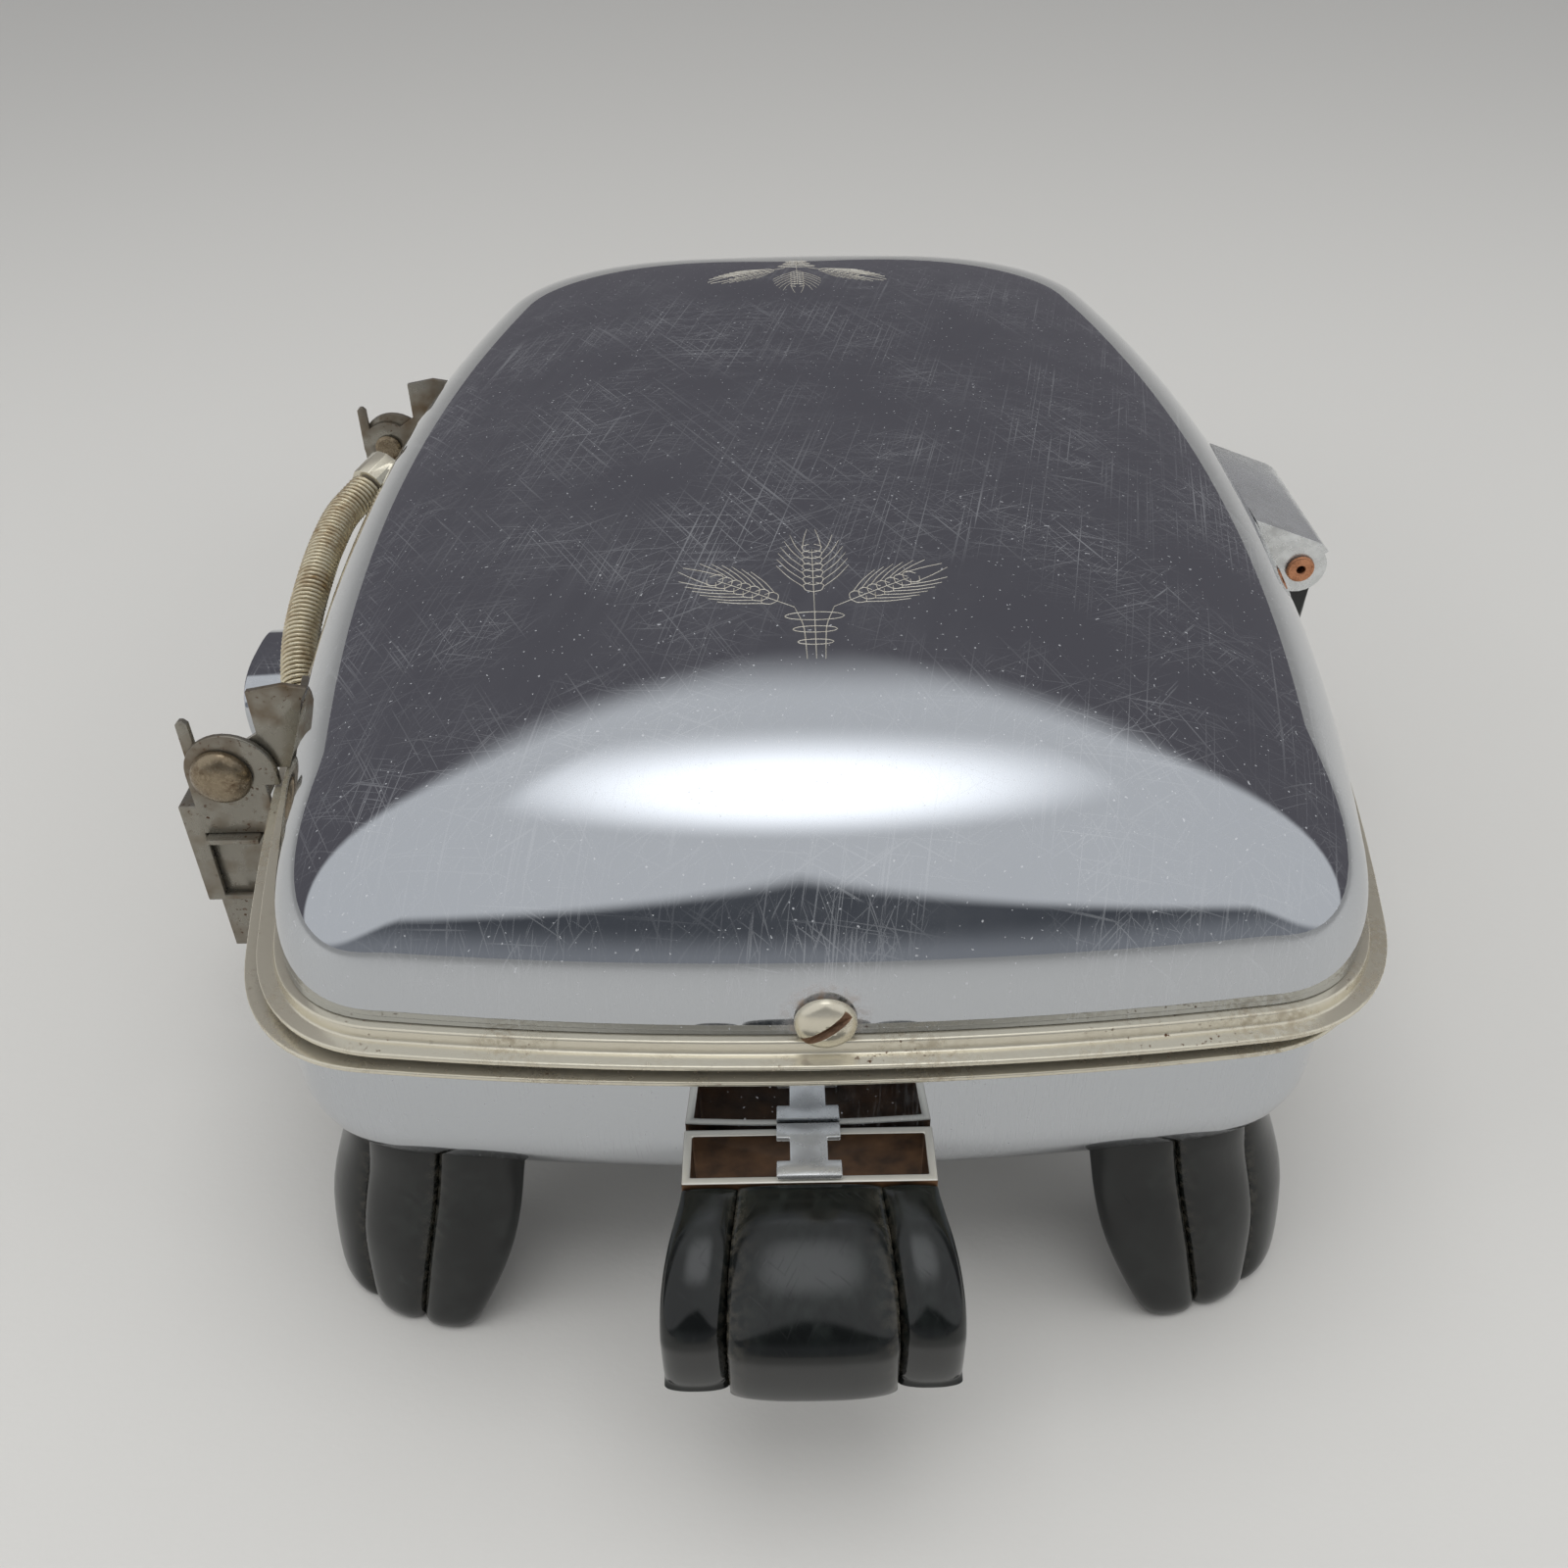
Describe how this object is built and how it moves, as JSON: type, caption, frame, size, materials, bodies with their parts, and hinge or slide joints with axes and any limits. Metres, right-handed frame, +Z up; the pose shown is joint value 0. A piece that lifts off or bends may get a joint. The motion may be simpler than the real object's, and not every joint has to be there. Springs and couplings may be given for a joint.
{
  "type": "sandwich press",
  "caption": "Table-top sandwich press: chromed base on claw feet, domed lid on floating hinges, ribbed grids, end handles, swinging lid handle, plug guard and spring conduit.",
  "frame": {"origin": "centre of the overall footprint, on the table", "axes": "+Z up; Y along the press from its front end (-Y) to its rear end; the hinges and plug guard are on the -X side and the lid's handle on the +X side"},
  "size_m": [0.2734, 0.4042, 0.1271],
  "materials": {
    "black_bakelite": "near-black moulded phenolic, glossy and lightly worn",
    "brass_pin": "plain, bright",
    "bronzed_rivet": "dark bronzed, worn bright on the crown",
    "cast_aluminium": "as cast, matt",
    "chrome_plate": "mirror-bright plate with fine wear scratches",
    "copper_eyelet": "coppered, dull",
    "dull_steel": "bare sheet steel, dull with brown rust bloom",
    "element_sheath": "oxidised, matt",
    "reflector_sheet": "bright rolled sheet",
    "white_ceramic": "off-white ceramic, matt",
    "worn_nickel": "dulled nickel plate, yellowish, stained brown in its corners",
    "woven_sleeve": "impregnated woven sleeving"
  },
  "bodies": {
    "base": {"base_conduit_ferrule": "worn_nickel", "base_rim": "worn_nickel", "base_shell": "chrome_plate", "bracket_strap_front": "dull_steel", "bracket_strap_rear": "dull_steel", "conduit_core": "woven_sleeve", "conduit_spring": "worn_nickel", "end_bracket_front": "dull_steel", "end_bracket_rear": "dull_steel", "end_handle_front": "black_bakelite", "end_handle_rear": "black_bakelite", "foot_front_left": "black_bakelite", "foot_front_right": "black_bakelite", "foot_rear_left": "black_bakelite", "foot_rear_right": "black_bakelite", "foot_screw_front_left": "dull_steel", "foot_screw_front_right": "dull_steel", "foot_screw_rear_left": "dull_steel", "foot_screw_rear_right": "dull_steel", "handle_bolt_front": "dull_steel", "handle_bolt_rear": "dull_steel", "hinge_guide_front": "dull_steel", "hinge_guide_rear": "dull_steel", "lead_front": "brass_pin", "lead_rear": "brass_pin", "lower_element": "element_sheath", "lower_element_bar_front": "white_ceramic", "lower_element_bar_rear": "white_ceramic", "lower_grid": "cast_aluminium", "lower_grid_clip_front": "dull_steel", "lower_grid_clip_rear": "dull_steel", "lower_reflector": "reflector_sheet", "plug_guard": "chrome_plate", "plug_pin_front": "brass_pin", "plug_pin_rear": "brass_pin", "terminal_block": "white_ceramic"},
    "hinge_links": {"hinge_link_front": "dull_steel", "hinge_link_rear": "dull_steel", "hinge_rivet_front": "bronzed_rivet", "hinge_rivet_rear": "bronzed_rivet"},
    "lid": {"hinge_arm_front": "dull_steel", "hinge_arm_rear": "dull_steel", "lid_conduit_ferrule": "worn_nickel", "lid_eyelet_front": "copper_eyelet", "lid_eyelet_rear": "copper_eyelet", "lid_handle_bracket": "worn_nickel", "lid_rim": "worn_nickel", "lid_screw_front": "worn_nickel", "lid_screw_rear": "worn_nickel", "lid_shell": "chrome_plate", "upper_element": "element_sheath", "upper_element_bar_front": "white_ceramic", "upper_element_bar_rear": "white_ceramic", "upper_grid": "cast_aluminium", "upper_grid_clip_front": "dull_steel", "upper_grid_clip_rear": "dull_steel", "upper_reflector": "reflector_sheet"},
    "lid_handle": {"lid_handle": "black_bakelite"}
  },
  "joints": [
    {"name": "lid_float", "type": "slide", "parent": "base", "child": "hinge_links", "axis": [0, 0, 1], "range_m": [0, 0.014], "deforming": ["conduit_spring", "conduit_core"]},
    {"name": "lid_hinge", "type": "hinge", "parent": "hinge_links", "child": "lid", "pos_m": [-0.11525, 0, 0.0795], "axis": [0, -1, 0], "range_deg": [0, 93]},
    {"name": "lid_handle_swing", "type": "hinge", "parent": "lid", "child": "lid_handle", "pos_m": [0.12635, 0, 0.0894], "axis": [0, -1, 0], "range_deg": [0, 65]}
  ]
}
